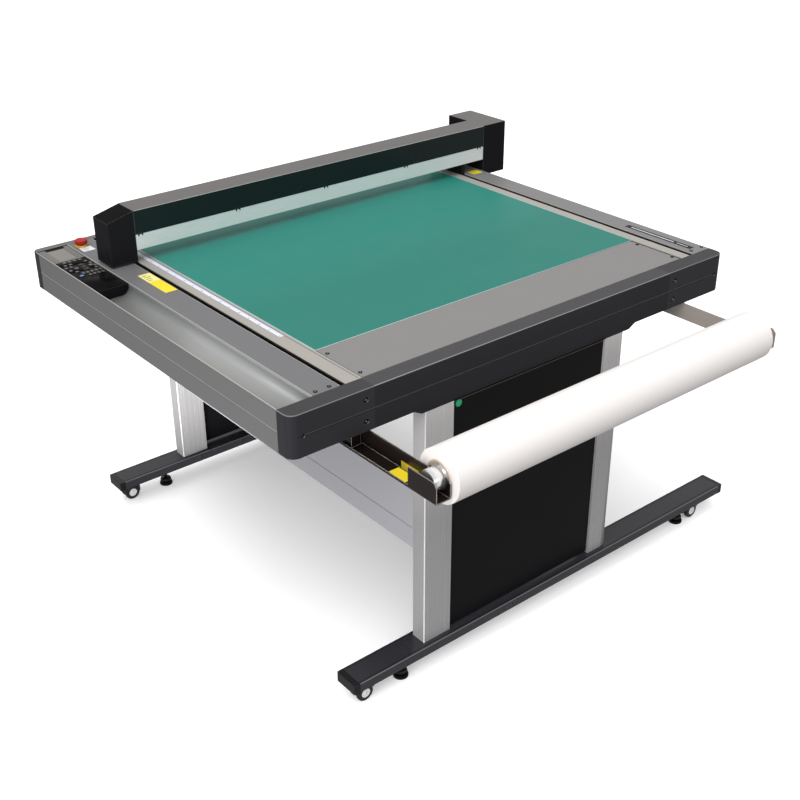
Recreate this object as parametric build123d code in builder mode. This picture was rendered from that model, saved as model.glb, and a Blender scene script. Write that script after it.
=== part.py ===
from build123d import *
from math import cos, radians, sin
import os

os.makedirs("parts", exist_ok=True)

# Flatbed vinyl cutter on a wheeled stand, in millimetres.
# The origin is the bottom centre of the overall box, +X runs along the gantry, +Y to the rear.
# Sizes below are measured from the table's left face, front face and top surface.
LEFT = -899.0
FRONT = -555.0
TOP = 1000.0

# table body
table_w = 1650.0
table_d = 1420.0
table_t = 121.0
seam_z = -63.5
seam_t = 1.2
wall = 3.0
front_corner_r = 26.0
rear_corner_r = 20.0
front_rail_d = 54.0
rear_rail_d = 29.0
front_cap_w = 258.0
rear_cap_w = 128.0
tray_w = 107.0
tray_x = (2.5, 105.0)
tray_depth = 34.0
tray_round = 26.0
left_rail = (108.0, 193.0)
right_rail = (1567.0, 1648.0)
left_slot = (193.0, 209.0)
right_slot = (1551.0, 1567.0)
cover_t = 3.0
mat_x = (262.0, 1514.0)
mat_y = (256.0, 1346.0)
plate_x = (263.0, 1503.0)
plate_y = (56.0, 253.0)
bed_t = 6.0
ruler_x = (235.0, 250.0)
ruler_y = (380.0, 1346.0)
cap_screw_x = 231.0
cap_screw_z = (-32.0, -93.0)
screw_r = 5.5
cap_hole_r = 8.0
cap_hole_depth = 5.0
seam_hole_x = 38.0
seam_hole_r = 6.0

# control panel in the tray
panel_x = (4.0, 103.0)
panel_y = (980.0, 1388.0)
panel_top = -1.0
panel_wall = 8.0
lcd_x = (26.0, 83.0)
lcd_y = (1272.0, 1372.0)
nav_centre = (63.0, 1187.0)
nav_pitch = 20.0
key_half = 6.5
key_gap = 0.5
key_rise = 1.8
estop_at = (137.0, 1352.0)
estop_ring_r = 19.0
estop_head_r = 20.0
estop_stem_r = 9.0
running_gap = 0.06

# gantry
bar_y = (1105.0, 1200.0)
bar_left = 207.0
bar_right = 1652.0
bar_top = 167.0
skin_t = 3.0
strip_z = (41.0, 90.0)
cap_left_x = 117.0
cap_left_low = 145.0
cap_left_base = 6.0
cap_right_x = (1653.0, 1763.0)
cap_right_base = -20.0
elbow_y = 1300.0
beam_y = (1112.0, 1194.0)
beam_z = (46.0, 160.0)
leg_y = (1108.0, 1193.0)
leg_base = -80.0
guide_z = (-62.0, -46.0)
guide_w = 14.0
x_guide_z = (66.0, 82.0)
x_guide_t = 7.0
carriage_x = (1520.0, 1622.0)
carriage_y = 1282.0
carriage_z = (30.0, 126.0)
tool_xs = (1546.0, 1596.0)
tool_y = 1268.0
tool_r = 9.0
tool_tip = 8.0

# drives
y_pulley_r = 15.0
y_belt_t = 2.0
y_belt_z = -100.0
y_pulley_rear = 1356.0
y_pulley_front = 92.0
belt_half_w = 5.0
shaft_r = 6.0
x_pulley_r = 10.0
x_belt_z = 118.0
x_pulley_left = 250.0
x_pulley_right = 1618.0
x_belt_y = (1204.5, 1212.5)

# stand
foot_x = (158.0, 1798.0)
foot_cap = 20.0
foot_corner_r = 5.0
front_foot_y = (-18.0, 67.0)
rear_foot_y = (1348.0, 1433.0)
foot_z = (-937.0, -905.0)
post_d = 50.0
post_w = 100.0
post_left_x = 427.0
post_right_x = 1123.0
post_round = 40.0
front_post_y = 2.0
rear_post_y = 1365.0
sub_rail_t = 16.0
sub_rail_x = (385.0, 1255.0)
sub_rail_taper = 30.0
leg_panel_t = 3.0
leg_panel_inset = 8.0
cross_z = (-597.0, -402.0)
cross_seam_z = -530.0
cross_w = 50.0
leveller_xs = (357.0, 1606.0)
pad_r = 23.0
stem_r = 6.0
castor_xs = (238.0, 1692.0)
castor_trail = 26.0
wheel_r = 27.0
wheel_lift = 1.0
wheel_in = 8.0
wheel_out = 21.0
hub_r = 15.0
axle_r = 4.0

# roll feeder
roll_y = -250.0
roll_z = -143.0
roll_r = 73.0
roll_x = (254.0, 1483.0)
core_r = (38.0, 42.4)
journal_r = 30.0
notch_r = 31.5
arm_y = (-298.0, 330.0)
arm_z = (-182.0, -128.0)
arm_w = 46.0
arm_left_x = 204.0
arm_right_x = 1487.0
arm_t = 2.5
arm_lip = 8.0
cradle_y = -192.0
cradle_top = -123.0


def inset(span, step):
    """Return the two ends of a span moved inwards."""
    return (span[0] + step, span[1] - step)


def slab(x, y, z, mode=Mode.ADD):
    """Add a rectangular block given by its two ends along each axis."""
    with BuildSketch(Plane.XY.offset(TOP + z[0])) as outline:
        with Locations((LEFT + (x[0] + x[1]) / 2, FRONT + (y[0] + y[1]) / 2)):
            Rectangle(x[1] - x[0], y[1] - y[0])
    extrude(outline.sketch, amount=z[1] - z[0], mode=mode)


def profile_x(points, x, mode=Mode.ADD):
    """Add a (y, z) outline carried along X."""
    with BuildSketch(Plane.YZ.offset(LEFT + x[0])) as outline:
        with BuildLine():
            Polyline(*[(FRONT + y, TOP + z) for y, z in points], close=True)
        make_face()
    extrude(outline.sketch, amount=x[1] - x[0], mode=mode)


def profile_y(points, y, mode=Mode.ADD):
    """Add an (x, z) outline carried along Y."""
    with BuildSketch(Plane.XZ.offset(-(FRONT + y[1]))) as outline:
        with BuildLine():
            Polyline(*[(LEFT + x, TOP + z) for x, z in points], close=True)
        make_face()
    extrude(outline.sketch, amount=y[1] - y[0], mode=mode)


def profile_z(points, z, mode=Mode.ADD):
    """Add an (x, y) outline carried up along Z."""
    with BuildSketch(Plane.XY.offset(TOP + z[0])) as outline:
        with BuildLine():
            Polyline(*[(LEFT + x, FRONT + y) for x, y in points], close=True)
        make_face()
    extrude(outline.sketch, amount=z[1] - z[0], mode=mode)


def rod_x(y, z, radius, x, mode=Mode.ADD):
    """Add a round bar along X."""
    with BuildSketch(Plane.YZ.offset(LEFT + x[0])) as disc:
        with Locations((FRONT + y, TOP + z)):
            Circle(radius)
    extrude(disc.sketch, amount=x[1] - x[0], mode=mode)


def rod_y(x, z, radius, y, mode=Mode.ADD):
    """Add a round bar along Y."""
    with BuildSketch(Plane.XZ.offset(-(FRONT + y[1]))) as disc:
        with Locations((LEFT + x, TOP + z)):
            Circle(radius)
    extrude(disc.sketch, amount=y[1] - y[0], mode=mode)


def rod_z(x, y, radius, z, mode=Mode.ADD):
    """Add a round bar along Z."""
    with BuildSketch(Plane.XY.offset(TOP + z[0])) as disc:
        with Locations((LEFT + x, FRONT + y)):
            Circle(radius)
    extrude(disc.sketch, amount=z[1] - z[0], mode=mode)


def save(piece, label):
    """Name a piece and write it out."""
    piece.part.label = label
    export_step(piece.part, "parts/" + label + ".step")


# ---------------------------------------------------------------- table body

side_y = (front_rail_d, table_d - rear_rail_d)

# The left side extrusion carries a long tray on its top.
with BuildPart() as side_covers:
    slab((0, tray_w), side_y, (-table_t, 0))
    with BuildSketch(Plane.XZ.offset(-(FRONT + side_y[1]))) as tray_outline:
        with Locations((LEFT + (tray_x[0] + tray_x[1]) / 2, TOP - tray_depth / 2)):
            Rectangle(tray_x[1] - tray_x[0], tray_depth)
        fillet(tray_outline.vertices().group_by(Axis.Y)[0], tray_round)
    extrude(tray_outline.sketch, amount=side_y[1] - side_y[0], mode=Mode.SUBTRACT)
    slab((wall, tray_w - wall), side_y, (wall - table_t, -tray_depth - wall), Mode.SUBTRACT)
    slab((0, 1), side_y, (seam_z - 0.8, seam_z + 0.8), Mode.SUBTRACT)
    slab((1618, table_w), side_y, (-table_t, -cover_t))
    slab((1618 + wall, table_w - wall), side_y, (wall - table_t, -cover_t - wall), Mode.SUBTRACT)
    slab((table_w - 1, table_w), side_y, (seam_z - 0.8, seam_z + 0.8), Mode.SUBTRACT)
save(side_covers, "side_covers")

# The rail covers hide the two linear guides beside the slots.
with BuildPart() as rail_covers:
    slab(left_rail, side_y, (-cover_t, 0))
    slab((left_rail[0], left_rail[0] + wall), side_y, (-22, -cover_t))
    rod_z(*estop_at, estop_stem_r + 2, (-cover_t, 0), Mode.SUBTRACT)
    rod_z(125.5, 1386, 2.5, (-cover_t, 0), Mode.SUBTRACT)
    slab(right_rail, side_y, (-cover_t, 0))
    chamfer(rail_covers.edges().group_by(Axis.Z)[-1].filter_by(Axis.Y), 0.8)
save(rail_covers, "rail_covers")


inlet_x = (1436.0, 1484.0)
switch_x = (1396.0, 1420.0)
service_z = (-94.0, -62.0)
with BuildPart() as end_rails:
    slab((front_cap_w, table_w - front_cap_w), (0, front_rail_d), (-table_t, 0))
    slab((rear_cap_w, table_w - rear_cap_w), (table_d - rear_rail_d, table_d), (-table_t, 0))
    fillet(end_rails.edges().filter_by(Axis.X).group_by(Axis.Z)[-1], 3.0)
    slab(
        (front_cap_w, table_w - front_cap_w),
        (wall, front_rail_d - wall),
        (wall - table_t, -wall),
        Mode.SUBTRACT,
    )
    slab(
        (rear_cap_w, table_w - rear_cap_w),
        (table_d - rear_rail_d + wall, table_d - wall),
        (wall - table_t, -wall),
        Mode.SUBTRACT,
    )
    slab((front_cap_w, table_w - front_cap_w), (0, seam_t), (seam_z - 0.8, seam_z + 0.8), Mode.SUBTRACT)
    slab(
        (rear_cap_w, table_w - rear_cap_w),
        (table_d - seam_t, table_d),
        (seam_z - 0.8, seam_z + 0.8),
        Mode.SUBTRACT,
    )
    slab(inlet_x, (table_d - wall, table_d), service_z, Mode.SUBTRACT)
    slab(switch_x, (table_d - wall, table_d), service_z, Mode.SUBTRACT)
save(end_rails, "end_rails")

def corner_cap(x, y, outer_x, outer_y, radius):
    """Moulded corner cap with a rounded upright corner."""
    with BuildSketch(Plane.XY.offset(TOP - table_t)) as outline:
        with Locations((LEFT + (x[0] + x[1]) / 2, FRONT + (y[0] + y[1]) / 2)):
            Rectangle(x[1] - x[0], y[1] - y[0])
        side = 0 if outer_x == 0 else -1
        depth = 0 if outer_y == 0 else -1
        fillet(outline.vertices().group_by(Axis.X)[side].group_by(Axis.Y)[depth], radius)
    extrude(outline.sketch, amount=table_t)


with BuildPart() as corner_caps:
    corner_cap((0, front_cap_w), (0, front_rail_d), 0, 0, front_corner_r)
    corner_cap((table_w - front_cap_w, table_w), (0, front_rail_d), table_w, 0, front_corner_r)
    rear_cap_y = (table_d - rear_rail_d, table_d)
    corner_cap((0, rear_cap_w), rear_cap_y, 0, table_d, rear_corner_r)
    corner_cap((table_w - rear_cap_w, table_w), rear_cap_y, table_w, table_d, rear_corner_r)
    rims = corner_caps.edges().group_by(Axis.Z)[-1]
    front_rims = rims.filter_by(Axis.X).group_by(Axis.Y)[0]
    rear_rims = rims.filter_by(Axis.X).group_by(Axis.Y)[-1]
    fillet(front_rims + rear_rims + rims.filter_by(GeomType.CIRCLE), 3.0)
    for face in ((0, seam_t), (table_d - seam_t, table_d)):
        slab((0, table_w), face, (seam_z - 0.8, seam_z + 0.8), Mode.SUBTRACT)
    for x in (cap_screw_x, table_w - cap_screw_x):
        for z in cap_screw_z:
            rod_y(x, z, cap_hole_r, (0, cap_hole_depth), Mode.SUBTRACT)
    for x in (seam_hole_x, table_w - seam_hole_x):
        rod_y(x, seam_z, seam_hole_r, (0, cap_hole_depth), Mode.SUBTRACT)
save(corner_caps, "corner_caps")

with BuildPart() as table_screws:
    for x, y in (
        (168.5, 68.0),
        (126.0, 68.0),
        (1585.0, 75.0),
        (1636.0, 75.0),
    ):
        rod_z(x, y, screw_r, (0, 1.4))
    for x in (268.5, plate_x[1] - 12):
        for y in (79.0, 219.0):
            rod_z(x + 6, y, screw_r, (0.4, 1.8))
    for x in (cap_screw_x, table_w - cap_screw_x):
        for z in cap_screw_z:
            rod_y(x, z, screw_r, (2.0, cap_hole_depth))
save(table_screws, "table_screws")

# The bed is one stiff plate with the mat, the strips and the front plate laid on it.
with BuildPart() as bed_plate:
    slab((left_slot[1], right_slot[0]), side_y, (-cover_t - bed_t, -cover_t))
    for y in (140.0, 520.0, 900.0, 1270.0):
        slab((left_slot[1] + 6, right_slot[0] - 6), (y, y + 50), (-82, -cover_t - bed_t))
        slab(
            (left_slot[1] + 6, right_slot[0] - 6),
            (y + wall, y + 50 - wall),
            (-82 + wall, -cover_t - bed_t - wall),
            Mode.SUBTRACT,
        )
save(bed_plate, "bed_plate")

with BuildPart() as edge_strips:
    slab((left_slot[1], mat_x[0] - 0.5), side_y, (-cover_t, 0))
    slab((mat_x[1] + 0.5, right_slot[0]), side_y, (-cover_t, 0))
    slab(ruler_x, ruler_y, (0, 0.6))
save(edge_strips, "edge_strips")

with BuildPart() as cutting_mat:
    slab(mat_x, mat_y, (-cover_t, 0.5))
    chamfer(cutting_mat.edges().group_by(Axis.Z)[-1], 0.6)
save(cutting_mat, "cutting_mat")

with BuildPart() as front_plate:
    slab(plate_x, plate_y, (-cover_t, 0.4))
    chamfer(front_plate.edges().group_by(Axis.Z)[-1], 0.4)
save(front_plate, "front_plate")

with BuildPart() as bottom_pan:
    slab((tray_w + 1, 1617), (front_rail_d + 1, side_y[1] - 1), (-table_t, -table_t + 2))
save(bottom_pan, "bottom_pan")

# ------------------------------------------------------------ control panel

with BuildPart() as panel_housing:
    panel_base = 1 - tray_depth
    with BuildSketch(Plane.XZ.offset(-(FRONT + panel_y[1]))) as block_outline:
        with Locations((LEFT + (panel_x[0] + panel_x[1]) / 2, TOP + (panel_top + panel_base) / 2)):
            Rectangle(panel_x[1] - panel_x[0], panel_top - panel_base)
        fillet(block_outline.vertices().group_by(Axis.Y)[0], tray_round - 1)
    extrude(block_outline.sketch, amount=panel_y[1] - panel_y[0])
    slab(
        (panel_x[0] + panel_wall, panel_x[1] - panel_wall),
        (panel_y[0] + panel_wall, panel_y[1] - panel_wall),
        (panel_base, panel_top - 2 * wall),
        Mode.SUBTRACT,
    )
    slab(lcd_x, lcd_y, (panel_top - 2, panel_top), Mode.SUBTRACT)
    slab((32, 88), (1376, 1381), (panel_top - 4, panel_top), Mode.SUBTRACT)
    for dy in (-nav_pitch, 0.0, nav_pitch):
        half = key_half + key_gap
        x = nav_centre[0]
        y = nav_centre[1] + dy
        slab((x - half, x + half), (y - half, y + half), (panel_top - 4, panel_top), Mode.SUBTRACT)
save(panel_housing, "panel_housing")

with BuildPart() as lcd_window:
    slab(
        (lcd_x[0] + 0.2, lcd_x[1] - 0.2),
        (lcd_y[0] + 0.2, lcd_y[1] - 0.2),
        (panel_top - 2, panel_top - 0.3),
    )
save(lcd_window, "lcd_window")

for label, dy in (("key_up", nav_pitch), ("key_down", -nav_pitch), ("key_enter", 0.0)):
    x = nav_centre[0]
    y = nav_centre[1] + dy
    with BuildPart() as nav_key:
        with BuildSketch(Plane.XY.offset(TOP + panel_top - 2)):
            with Locations((LEFT + x, FRONT + y)):
                RectangleRounded(2 * key_half, 2 * key_half, 2.0)
        extrude(amount=2 + key_rise)
        chamfer(nav_key.edges().group_by(Axis.Z)[-1], 0.6)
    save(nav_key, label)

# The emergency stop stands on the left rail near the rear.
with BuildPart() as estop_base:
    rod_z(*estop_at, estop_ring_r, (0, 6))
    rod_z(*estop_at, estop_stem_r + running_gap, (0, 6), Mode.SUBTRACT)
    rod_z(*estop_at, estop_ring_r - 3.5, (5, 6), Mode.SUBTRACT)
    fillet(estop_base.edges().group_by(Axis.Z)[-1].sort_by(SortBy.LENGTH)[-1], 1.5)
save(estop_base, "estop_base")

with BuildPart() as estop_button:
    rod_z(*estop_at, estop_stem_r, (-24, 9))
    rod_z(*estop_at, estop_ring_r - 4, (9, 12))
    rod_z(*estop_at, estop_head_r, (10.5, 22))
    fillet(estop_button.edges().group_by(Axis.Z)[-1], 4.0)
save(estop_button, "estop_button")

# ------------------------------------------------------------ power entry

switch_z = (service_z[0] + service_z[1]) / 2
switch_y = table_d - 6.0
rocker_pin_r = 2.0
with BuildPart() as power_entry:
    body_z = inset(service_z, 0.3)
    slab(inset(inlet_x, 0.3), (table_d - 18, table_d), body_z)
    slab(inset(inlet_x, 10), (table_d - 14, table_d), inset(service_z, 6), Mode.SUBTRACT)
    for x in ((inlet_x[0] + inlet_x[1]) / 2 + step for step in (-7, 0, 7)):
        slab((x - 1, x + 1), (table_d - 15, table_d - 3), (-80, -76))
    slab(inset(switch_x, 0.3), (table_d - 20, table_d), body_z)
    slab(inset(switch_x, 3), (table_d - 17, table_d), inset(service_z, 3), Mode.SUBTRACT)
    pin_hole_r = rocker_pin_r + running_gap
    rod_x(switch_y, switch_z, pin_hole_r, inset(switch_x, 1), Mode.SUBTRACT)
save(power_entry, "power_entry")

rocker_tilt = radians(9.0)
rocker_points = ((-7.0, -5.0), (7.5, -11.5), (4.5, 0.0), (7.5, 11.5), (-7.0, 5.0))
with BuildPart() as power_rocker:
    profile_x(
        [
            (
                switch_y + y * cos(rocker_tilt) + z * sin(rocker_tilt),
                switch_z - y * sin(rocker_tilt) + z * cos(rocker_tilt),
            )
            for y, z in rocker_points
        ],
        (switch_x[0] + 3.6, switch_x[1] - 3.6),
    )
    rod_x(switch_y, switch_z, rocker_pin_r, (switch_x[0] + 1.4, switch_x[1] - 1.4))
save(power_rocker, "power_rocker")

# ------------------------------------------------------------------ gantry

with BuildPart() as gantry_beam:
    slab((bar_left, bar_right - 0.4), beam_y, beam_z)
    slab(
        (bar_left, bar_right - 0.4),
        (beam_y[0] + 4, beam_y[1] - 4),
        (beam_z[0] + 4, beam_z[1] - 4),
        Mode.SUBTRACT,
    )
    for x in (x_pulley_left, x_pulley_right):
        rod_y(x, x_belt_z, axle_r, (beam_y[1] - 4, beam_y[1]), Mode.SUBTRACT)
save(gantry_beam, "gantry_beam")

with BuildPart() as gantry_front_cover:
    slab((bar_left, bar_right - 0.4), (bar_y[0], bar_y[0] + skin_t), (strip_z[1] + 0.3, bar_top))
    chamfer(gantry_front_cover.edges().filter_by(Axis.X).group_by(Axis.Z)[-1].sort_by(Axis.Y)[0], 1.0)
save(gantry_front_cover, "gantry_front_cover")

with BuildPart() as gantry_top_cover:
    profile_z(
        (
            (bar_left, bar_y[0] + skin_t),
            (cap_right_x[1] - skin_t, bar_y[0] + skin_t),
            (cap_right_x[1] - skin_t, elbow_y - skin_t),
            (cap_right_x[0] + skin_t, elbow_y - skin_t),
            (cap_right_x[0] + skin_t, bar_y[1]),
            (bar_left, bar_y[1]),
        ),
        (bar_top - skin_t, bar_top),
    )
save(gantry_top_cover, "gantry_top_cover")

tab_xs = [224.0 + 351.5 * step for step in range(5)]
with BuildPart() as wiper_strip:
    slab((bar_left, bar_right - 0.4), (bar_y[0] + 0.6, bar_y[0] + 2.2), strip_z)
    slab((bar_left, bar_right - 0.4), (bar_y[0] + 2.2, beam_y[0]), (strip_z[0] + 6, strip_z[0] + 8))
    for x in tab_xs:
        rod_y(x, strip_z[1] - 5, 4.5, (bar_y[0] - 0.6, bar_y[0] + 0.8))
save(wiper_strip, "wiper_strip")

with BuildPart() as gantry_end_caps:
    profile_y(
        (
            (cap_left_x, cap_left_base),
            (bar_left - 0.4, cap_left_base),
            (bar_left - 0.4, bar_top),
            (cap_left_x, cap_left_low),
        ),
        (bar_y[0], bar_y[1] - 2),
    )
    fillet(gantry_end_caps.edges().filter_by(Axis.Z).group_by(Axis.X)[0], 3.0)
    profile_y(
        (
            (cap_left_x + skin_t, cap_left_base),
            (bar_left - 0.4, cap_left_base),
            (bar_left - 0.4, bar_top - skin_t),
            (cap_left_x + skin_t, cap_left_low - skin_t),
        ),
        (bar_y[0] + skin_t, bar_y[1] - 2 - skin_t),
        Mode.SUBTRACT,
    )
    slab(cap_right_x, (bar_y[0], elbow_y), (cap_right_base, bar_top))
    fillet(gantry_end_caps.edges().filter_by(Axis.Z).group_by(Axis.X)[-1], 4.0)
    slab(
        inset(cap_right_x, skin_t),
        (bar_y[0] + skin_t, elbow_y - skin_t),
        (cap_right_base, bar_top),
        Mode.SUBTRACT,
    )
    slab(
        (cap_right_x[0], cap_right_x[0] + skin_t),
        (bar_y[0] + skin_t, bar_y[1]),
        (bar_top - skin_t, bar_top),
        Mode.SUBTRACT,
    )
save(gantry_end_caps, "gantry_end_caps")


left_guide_x = (150.0, 150.0 + guide_w)
right_guide_x = (1590.0, 1590.0 + guide_w)
# Each leg drops through its slot, 2 mm thinner a side, with a bearing block bolted to its foot.
with BuildPart() as gantry_legs:
    slab((left_slot[0] + 2, left_slot[1] - 2), leg_y, (leg_base, beam_z[1]))
    slab((right_slot[0] + 2, right_slot[1] - 2), leg_y, (leg_base, beam_z[0]))
    fillet(gantry_legs.edges().filter_by(Axis.Z).group_by(Axis.Y)[0], 4.0)
save(gantry_legs, "gantry_legs")

block_z = (guide_z[0] - 10, guide_z[1] + 8)
block_y = (leg_y[0] + 6, leg_y[1] - 6)
with BuildPart() as guide_blocks:
    slab((left_guide_x[0] - 8, left_slot[0] + 2), block_y, block_z)
    slab((right_slot[1] - 2, right_guide_x[1] + 8), block_y, block_z)
    for guide_x in (left_guide_x, right_guide_x):
        slab(
            (guide_x[0] - running_gap, guide_x[1] + running_gap),
            leg_y,
            (guide_z[0] - running_gap, guide_z[1] + running_gap),
            Mode.SUBTRACT,
        )
        slab((guide_x[0] + 3, guide_x[1] - 3), leg_y, (guide_z[0] - 11, guide_z[0] + 1), Mode.SUBTRACT)
save(guide_blocks, "guide_blocks")

# Each guide rail stands on a narrow web above the bottom pan.
with BuildPart() as y_guides:
    for guide_x in (left_guide_x, right_guide_x):
        slab(guide_x, side_y, guide_z)
        slab((guide_x[0] + 5, guide_x[1] - 5), side_y, (-table_t + 2, guide_z[0]))
save(y_guides, "y_guides")

with BuildPart() as x_guide:
    slab((bar_left + 10, bar_right - 16), (beam_y[1], beam_y[1] + x_guide_t), x_guide_z)
save(x_guide, "x_guide")

# ---------------------------------------------------------------- carriage

with BuildPart() as carriage_block:
    slab(carriage_x, (beam_y[1] + 1, carriage_y - 30), (carriage_z[0], carriage_z[1]))
    slab(
        carriage_x,
        (beam_y[1], beam_y[1] + x_guide_t + running_gap),
        (x_guide_z[0] - running_gap, x_guide_z[1] + running_gap),
        Mode.SUBTRACT,
    )
    slab(carriage_x, (beam_y[1], x_belt_y[1] + 4), (x_belt_z - 14, carriage_z[1]), Mode.SUBTRACT)
    slab((carriage_x[0] + 2, carriage_x[1] - 2), (carriage_y - 30, carriage_y), (92, carriage_z[1]))
    for x in tool_xs:
        rod_z(x, tool_y, tool_r + 3 + running_gap, (90, carriage_z[1]), Mode.SUBTRACT)
    fillet(carriage_block.edges().filter_by(Axis.Z).group_by(Axis.Y)[-1], 4.0)
save(carriage_block, "carriage_block")

for label, x in (("tool_holder_a", tool_xs[0]), ("tool_holder_b", tool_xs[1])):
    with BuildPart() as tool_holder:
        rod_z(x, tool_y, tool_r + 3, (60, 136))
        rod_z(x, tool_y, tool_r, (28, 60))
        with BuildSketch(Plane.XY.offset(TOP + 28)):
            with Locations((LEFT + x, FRONT + tool_y)):
                Circle(tool_r)
        with BuildSketch(Plane.XY.offset(TOP + tool_tip)):
            with Locations((LEFT + x, FRONT + tool_y)):
                Circle(1.5)
        loft()
        chamfer(tool_holder.edges().group_by(Axis.Z)[-1], 1.5)
    save(tool_holder, label)

# ------------------------------------------------------------------ drives


def belt_loop(plane_kind, ends, height, radius, thickness, across):
    """Flat belt round two equal pulleys."""
    middle = (ends[0] + ends[1]) / 2
    span = ends[1] - ends[0]
    if plane_kind == "YZ":
        plane = Plane.YZ.offset(LEFT + across[0])
        centre = (FRONT + middle, TOP + height)
    else:
        plane = Plane.XZ.offset(-(FRONT + across[1]))
        centre = (LEFT + middle, TOP + height)
    with BuildSketch(plane) as ring:
        with Locations(centre):
            SlotCenterToCenter(span, 2 * (radius + thickness))
            SlotCenterToCenter(span, 2 * radius, mode=Mode.SUBTRACT)
    extrude(ring.sketch, amount=across[1] - across[0])


y_belt_centres = ((left_slot[0] + left_slot[1]) / 2, (right_slot[0] + right_slot[1]) / 2)
with BuildPart() as y_belts:
    for x in y_belt_centres:
        belt_loop(
            "YZ",
            (y_pulley_front, y_pulley_rear),
            y_belt_z,
            y_pulley_r + 0.4,
            y_belt_t,
            (x - belt_half_w, x + belt_half_w),
        )
save(y_belts, "y_belts")

with BuildPart() as sync_shaft:
    rod_x(y_pulley_rear, y_belt_z, shaft_r, (186, 1574))
    for x in y_belt_centres:
        rod_x(y_pulley_rear, y_belt_z, y_pulley_r, (x - belt_half_w - 1, x + belt_half_w + 1))
save(sync_shaft, "sync_shaft")

with BuildPart() as idler_shaft:
    for x in y_belt_centres:
        rod_x(y_pulley_front, y_belt_z, y_pulley_r, (x - belt_half_w - 1, x + belt_half_w + 1))
    rod_x(y_pulley_front, y_belt_z, shaft_r, (186, 1574))
save(idler_shaft, "idler_shaft")

with BuildPart() as shaft_bearings:
    for y in (y_pulley_front, y_pulley_rear):
        for x in ((212.0, 224.0), (1536.0, 1548.0)):
            slab(x, (y - 16, y + 16), (-table_t + 2, y_belt_z + 14))
            rod_x(y, y_belt_z, shaft_r + running_gap, x, Mode.SUBTRACT)
save(shaft_bearings, "shaft_bearings")

motor_x = (1440.0, 1500.0)
with BuildPart() as y_motor:
    slab(motor_x, (y_pulley_rear - 90, y_pulley_rear - 34), (-table_t + 2, -table_t + 34))
save(y_motor, "y_motor")

with BuildPart() as x_belt:
    belt_loop("XZ", (x_pulley_left, x_pulley_right), x_belt_z, x_pulley_r + 0.4, 1.6, x_belt_y)
save(x_belt, "x_belt")

for label, x in (("x_pulley_motor", x_pulley_left), ("x_pulley_idler", x_pulley_right)):
    with BuildPart() as x_pulley:
        rod_y(x, x_belt_z, x_pulley_r, (x_belt_y[0] - 1, x_belt_y[1] + 1))
        rod_y(x, x_belt_z, axle_r - running_gap, (beam_y[1] - 3.6, x_belt_y[1] + 2))
    save(x_pulley, label)

# ------------------------------------------------------------------- stand

foot_centres = (
    (front_foot_y[0] + front_foot_y[1]) / 2,
    (rear_foot_y[0] + rear_foot_y[1]) / 2,
)
beam_x = (foot_x[0] + foot_cap, foot_x[1] - foot_cap)


with BuildPart() as foot_beams:
    for y in (front_foot_y, rear_foot_y):
        slab(beam_x, y, foot_z)
    fillet(foot_beams.edges().filter_by(Axis.X), 2.5)
    for y in (front_foot_y, rear_foot_y):
        slab(beam_x, inset(y, wall), inset(foot_z, wall), Mode.SUBTRACT)
        slab(beam_x, (y[0] + 7, y[0] + 9), (foot_z[1] - 0.8, foot_z[1]), Mode.SUBTRACT)
        slab(beam_x, (y[1] - 9, y[1] - 7), (foot_z[1] - 0.8, foot_z[1]), Mode.SUBTRACT)
        stem_hole_z = (foot_z[0] - 1, foot_z[0] + wall + 1)
        for x in castor_xs + leveller_xs:
            rod_z(x, (y[0] + y[1]) / 2, stem_r + running_gap, stem_hole_z, Mode.SUBTRACT)
save(foot_beams, "foot_beams")

with BuildPart() as foot_end_caps:
    for y in (front_foot_y, rear_foot_y):
        for x in ((foot_x[0], beam_x[0]), (beam_x[1], foot_x[1])):
            with BuildSketch(Plane.XY.offset(TOP + foot_z[0])) as cap_outline:
                with Locations((LEFT + (x[0] + x[1]) / 2, FRONT + (y[0] + y[1]) / 2)):
                    Rectangle(x[1] - x[0], y[1] - y[0])
                outer = cap_outline.vertices().group_by(Axis.X)[0 if x[0] == foot_x[0] else -1]
                fillet(outer, foot_corner_r)
            extrude(amount=foot_z[1] - foot_z[0])
    fillet(foot_end_caps.edges().group_by(Axis.Z)[-1].filter_by(GeomType.CIRCLE), 2.5)
save(foot_end_caps, "foot_end_caps")


def post(x, y, side):
    """Aluminium post with shallow grooves; side is the way its outer face looks."""
    z = (foot_z[1], -table_t - sub_rail_t)
    with BuildSketch(Plane.XY.offset(TOP + z[0])) as section:
        with Locations((LEFT + x + post_w / 2, FRONT + y + post_d / 2)):
            Rectangle(post_w, post_d)
        if side == "right":
            outer = section.vertices().group_by(Axis.X)[-1]
            fillet(outer.sort_by(Axis.Y)[0 if y < table_d / 2 else -1], post_round)
    extrude(section.sketch, amount=z[1] - z[0])
    for groove, width in ((60.0, 2.5), (11.0, 1.2), (22.0, 1.2), (82.0, 1.2)):
        start = x + groove if side == "left" else x + post_w - groove - width
        if side == "left" or groove > post_round:
            slab((start, start + width), (y, y + 1.0), z, Mode.SUBTRACT)
            slab((start, start + width), (y + post_d - 1.0, y + post_d), z, Mode.SUBTRACT)
    inner = (x + 8, x + 42) if side == "right" else (x + post_w - 42, x + post_w - 8)
    slab(inner, (y + 8, y + post_d - 8), z, Mode.SUBTRACT)
    if side == "left":
        slab((x + 8, x + 50), (y + 8, y + post_d - 8), z, Mode.SUBTRACT)


with BuildPart() as posts:
    for y in (front_post_y, rear_post_y):
        post(post_left_x, y, "left")
        post(post_right_x, y, "right")
save(posts, "posts")

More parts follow.
